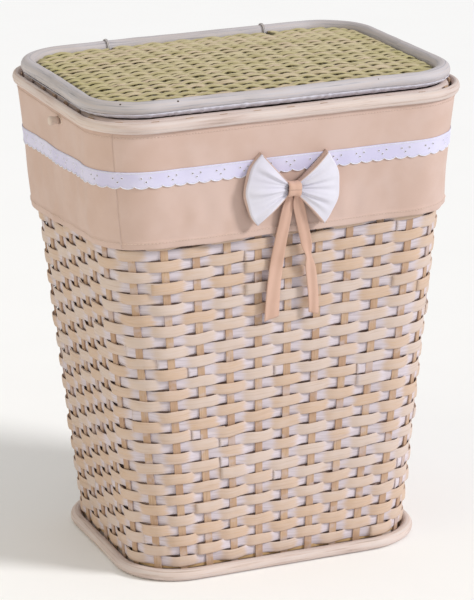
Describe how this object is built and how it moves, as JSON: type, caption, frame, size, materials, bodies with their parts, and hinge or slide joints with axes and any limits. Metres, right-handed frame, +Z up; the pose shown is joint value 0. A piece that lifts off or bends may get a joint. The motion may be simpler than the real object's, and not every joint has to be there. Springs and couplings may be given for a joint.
{
  "type": "laundry hamper",
  "caption": "Tall tapered woven laundry basket with a hinged woven lid, a cloth liner turned down as a cuff, a lace trim and a ribbon bow.",
  "frame": {"origin": "middle of the footprint on the floor", "axes": "+X along the long side, +Y towards the hinged back, away from the bow, +Z up"},
  "size_m": [0.4756, 0.3761, 0.5806],
  "materials": {
    "stake_split": "flat tan willow split, dry and matt",
    "weave_split": "thin flat split, tan with a rubbed whitewash",
    "bent_rod": "round bent rod, whitewashed, satin",
    "lid_rod": "round bent rod, greyish whitewash, satin",
    "willow": "thin peeled willow rods, yellow-green to cream",
    "base_board": "plain thin board",
    "peg_wood": "small turned peg",
    "cane": "flat cane binding",
    "cotton": "plain-weave peach-beige cotton",
    "white_cotton": "plain-weave white cotton",
    "lace": "white eyelet lace"
  },
  "bodies": {
    "basket": {"stake_01": "stake_split", "stake_02": "stake_split", "stake_03": "stake_split", "stake_04": "stake_split", "stake_05": "stake_split", "stake_06": "stake_split", "stake_07": "stake_split", "stake_08": "stake_split", "stake_09": "stake_split", "stake_10": "stake_split", "stake_11": "stake_split", "stake_12": "stake_split", "stake_13": "stake_split", "stake_14": "stake_split", "stake_15": "stake_split", "stake_16": "stake_split", "stake_17": "stake_split", "stake_18": "stake_split", "stake_19": "stake_split", "stake_20": "stake_split", "stake_21": "stake_split", "stake_22": "stake_split", "stake_23": "stake_split", "stake_24": "stake_split", "stake_25": "stake_split", "stake_26": "stake_split", "stake_27": "stake_split", "stake_28": "stake_split", "stake_29": "stake_split", "stake_30": "stake_split", "stake_31": "stake_split", "stake_32": "stake_split", "stake_33": "stake_split", "stake_34": "stake_split", "stake_35": "stake_split", "stake_36": "stake_split", "base_hoop": "bent_rod", "base_inner_hoop": "bent_rod", "rim_outer_hoop": "bent_rod", "rim_inner_hoop": "bent_rod", "base_panel": "base_board", "wall_weave": "weave_split", "liner_bag": "cotton", "liner_cuff": "cotton", "lace_trim": "lace", "hinge_loop_left": "cane", "hinge_loop_right": "cane", "side_peg_left": "peg_wood", "side_peg_right": "peg_wood", "bow_backing_left": "cotton", "bow_backing_right": "cotton", "bow_loop_left": "white_cotton", "bow_loop_right": "white_cotton", "bow_knot": "cotton", "bow_tail_left": "cotton", "bow_tail_right": "cotton"},
    "lid": {"lid_rim_hoop": "lid_rod", "lid_weave": "willow", "lid_lining": "white_cotton"}
  },
  "joints": [
    {"name": "lid_hinge", "type": "hinge", "parent": "basket", "child": "lid", "pos_m": [0, 0.155, 0.5683], "axis": [-1, 0, 0], "range_deg": [0, 180]}
  ]
}
